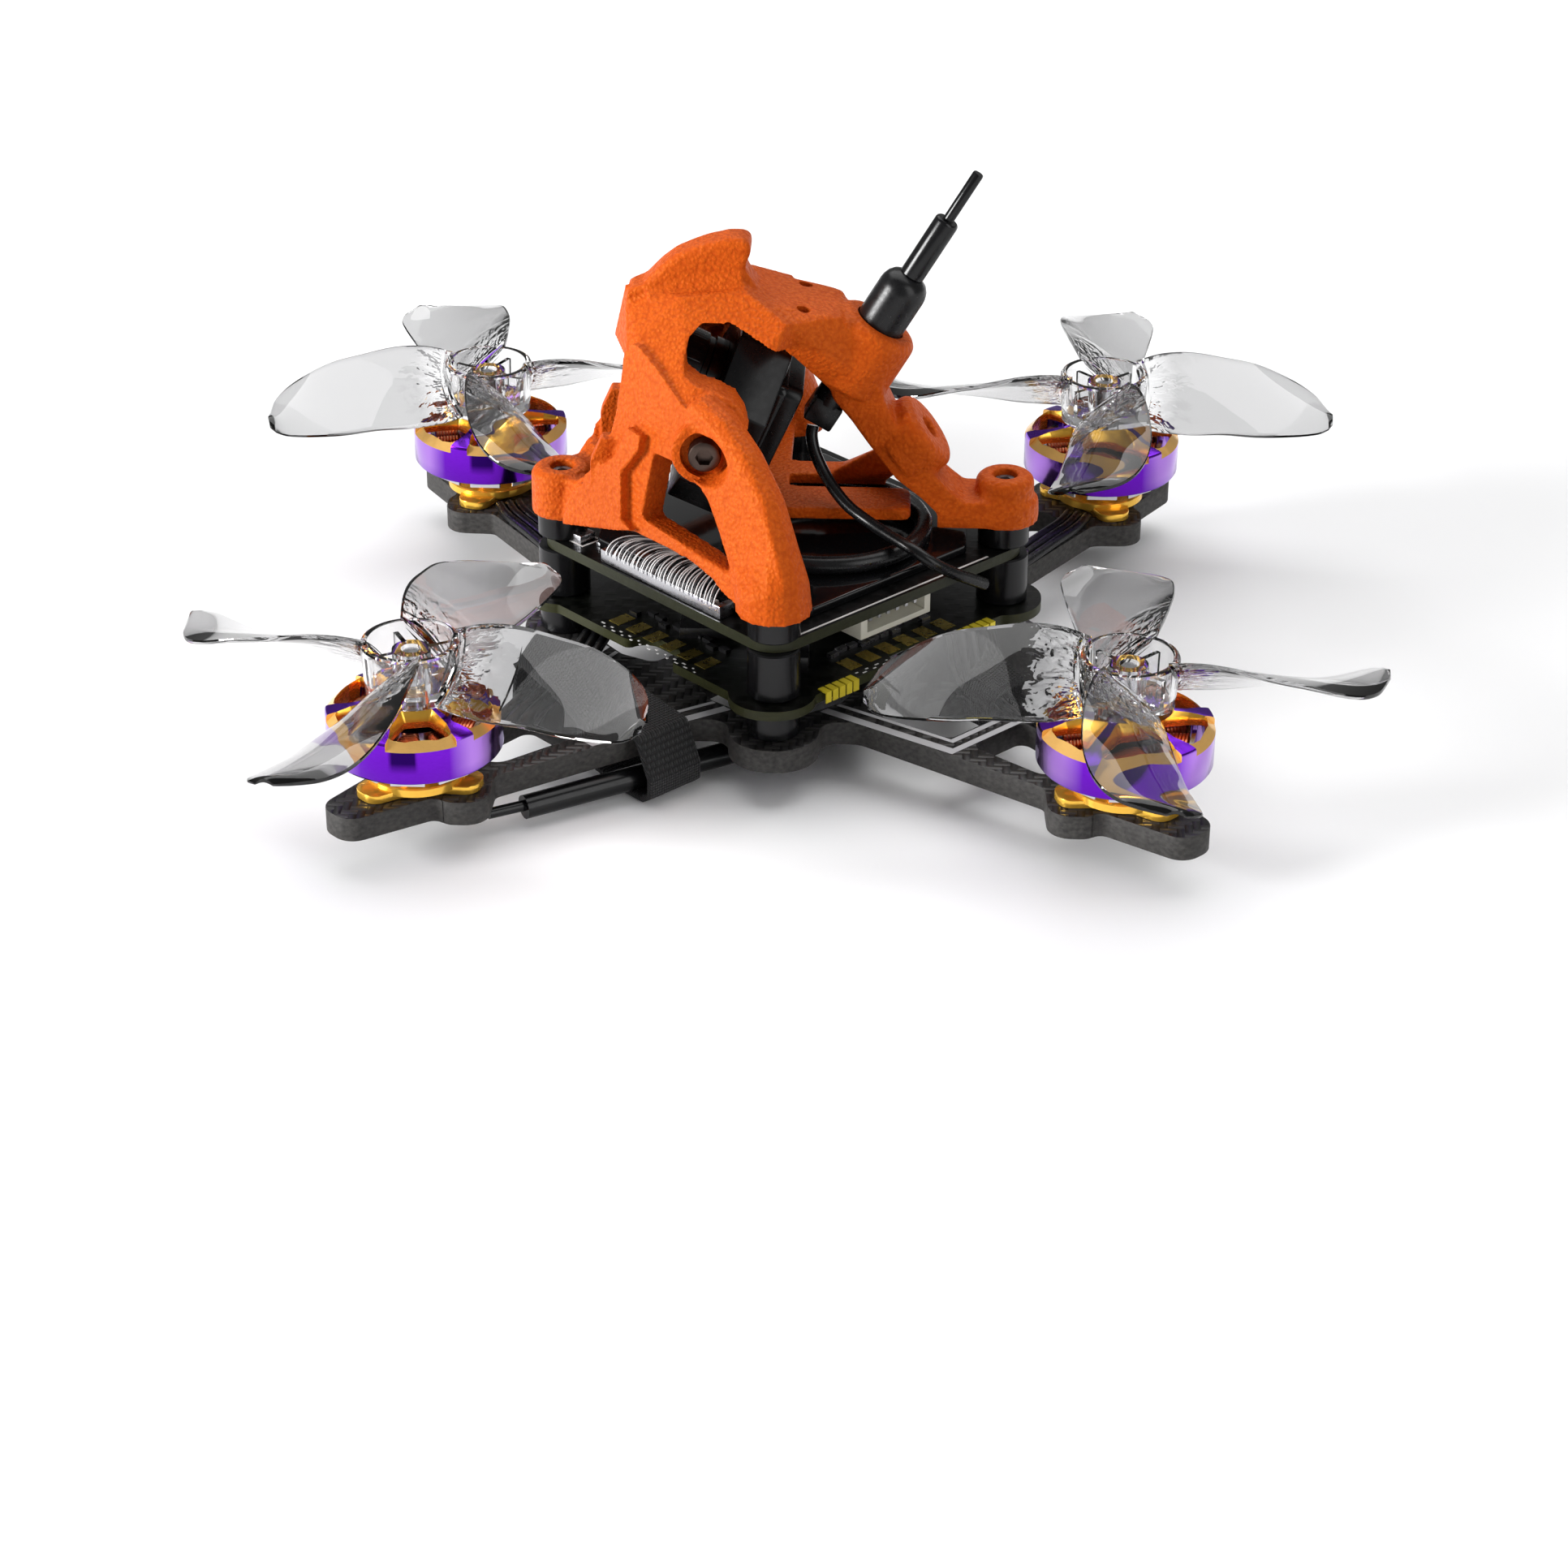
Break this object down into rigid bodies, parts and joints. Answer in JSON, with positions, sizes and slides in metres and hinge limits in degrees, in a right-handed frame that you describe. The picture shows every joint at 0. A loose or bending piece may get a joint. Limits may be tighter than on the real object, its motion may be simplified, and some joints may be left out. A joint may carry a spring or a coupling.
{
  "type": "fpv racing drone",
  "caption": "Small X-shaped carbon racing drone with a tilting nose camera under an orange canopy, stacked boards and a clear propeller on each outrunner motor.",
  "frame": {"origin": "centre of the carbon plate's underside, on the axis of the board stack", "axes": "nose toward -Y, the drone's left toward +X, up +Z"},
  "size_m": [0.0932, 0.0921, 0.0452],
  "materials": {
    "woven_carbon": "woven carbon fibre under a satin resin, brushed dark grey cut edges",
    "gold_anodised": "gold anodised",
    "copper_winding": "enamelled copper wire on a lacquered core",
    "purple_anodised": "glossy purple anodised with gold machined edges",
    "shaft_steel": "polished",
    "smoked_clear": "clear, lightly smoked polycarbonate",
    "spacer_black": "satin black",
    "screw_steel": "dark oxide",
    "board_olive": "dark solder mask",
    "board_black": "black solder mask",
    "spreader_black": "gloss black",
    "connector_metal": "satin",
    "cream_nylon": "moulded",
    "orange_print": "fine leathery grain",
    "camera_black": "satin",
    "barrel_black": "satin, knurled rim",
    "lens_glass": "coated",
    "screw_brown": "dark brown-black oxide",
    "boot_rubber": "satin",
    "antenna_black": "satin",
    "cable_black": "satin",
    "receiver_black": "satin",
    "lead_black": "satin",
    "fine_wires": "white and black enamel",
    "woven_wrap": "black braided weave"
  },
  "bodies": {
    "airframe": {"frame_plate": "woven_carbon", "motor_base_front_left": "gold_anodised", "stator_front_left": "copper_winding", "motor_base_front_right": "gold_anodised", "stator_front_right": "copper_winding", "motor_base_rear_left": "gold_anodised", "stator_rear_left": "copper_winding", "motor_base_rear_right": "gold_anodised", "stator_rear_right": "copper_winding", "spacer_lower_front": "spacer_black", "spacer_lower_left": "spacer_black", "spacer_lower_rear": "spacer_black", "spacer_lower_right": "spacer_black", "spacer_middle_front": "spacer_black", "spacer_middle_left": "spacer_black", "spacer_middle_rear": "spacer_black", "spacer_middle_right": "spacer_black", "spacer_upper_front": "spacer_black", "spacer_upper_left": "spacer_black", "spacer_upper_rear": "spacer_black", "spacer_upper_right": "spacer_black", "stack_screw_front": "screw_steel", "stack_screw_left": "screw_steel", "stack_screw_rear": "screw_steel", "stack_screw_right": "screw_steel", "controller_board": "board_olive", "video_board": "board_black", "heat_spreader": "spreader_black", "camera_connector": "connector_metal", "power_connector": "cream_nylon", "canopy": "orange_print", "antenna_boot": "boot_rubber", "antenna_mast": "antenna_black", "antenna_coax": "cable_black", "receiver_antenna": "receiver_black", "motor_leads_front_left": "lead_black", "motor_leads_front_right": "lead_black", "motor_leads_rear_left": "lead_black", "motor_leads_rear_right": "lead_black", "camera_cable": "cable_black", "camera_ribbon": "fine_wires", "arm_wrap_front": "woven_wrap", "arm_wrap_rear": "woven_wrap"},
    "camera": {"camera_body": "camera_black", "lens_barrel": "barrel_black", "lens_glass": "lens_glass", "camera_screw_left": "screw_brown", "camera_screw_right": "screw_brown"},
    "rotor_front_left": {"bell_front_left": "purple_anodised", "shaft_front_left": "shaft_steel", "propeller_front_left": "smoked_clear"},
    "rotor_front_right": {"bell_front_right": "purple_anodised", "shaft_front_right": "shaft_steel", "propeller_front_right": "smoked_clear"},
    "rotor_rear_left": {"bell_rear_left": "purple_anodised", "shaft_rear_left": "shaft_steel", "propeller_rear_left": "smoked_clear"},
    "rotor_rear_right": {"bell_rear_right": "purple_anodised", "shaft_rear_right": "shaft_steel", "propeller_rear_right": "smoked_clear"}
  },
  "joints": [
    {"name": "spin_front_left", "type": "hinge", "parent": "airframe", "child": "rotor_front_left", "pos_m": [0.02712, -0.02712, 0.011], "axis": [0, 0, 1], "continuous": true},
    {"name": "spin_front_right", "type": "hinge", "parent": "airframe", "child": "rotor_front_right", "pos_m": [-0.02712, -0.02712, 0.011], "axis": [0, 0, 1], "continuous": true},
    {"name": "spin_rear_left", "type": "hinge", "parent": "airframe", "child": "rotor_rear_left", "pos_m": [0.02712, 0.02712, 0.011], "axis": [0, 0, 1], "continuous": true},
    {"name": "spin_rear_right", "type": "hinge", "parent": "airframe", "child": "rotor_rear_right", "pos_m": [-0.02712, 0.02712, 0.011], "axis": [0, 0, 1], "continuous": true},
    {"name": "camera_tilt", "type": "hinge", "parent": "airframe", "child": "camera", "pos_m": [0, -0.0057, 0.0228], "axis": [1, 0, 0], "range_deg": [-10, 10]}
  ]
}
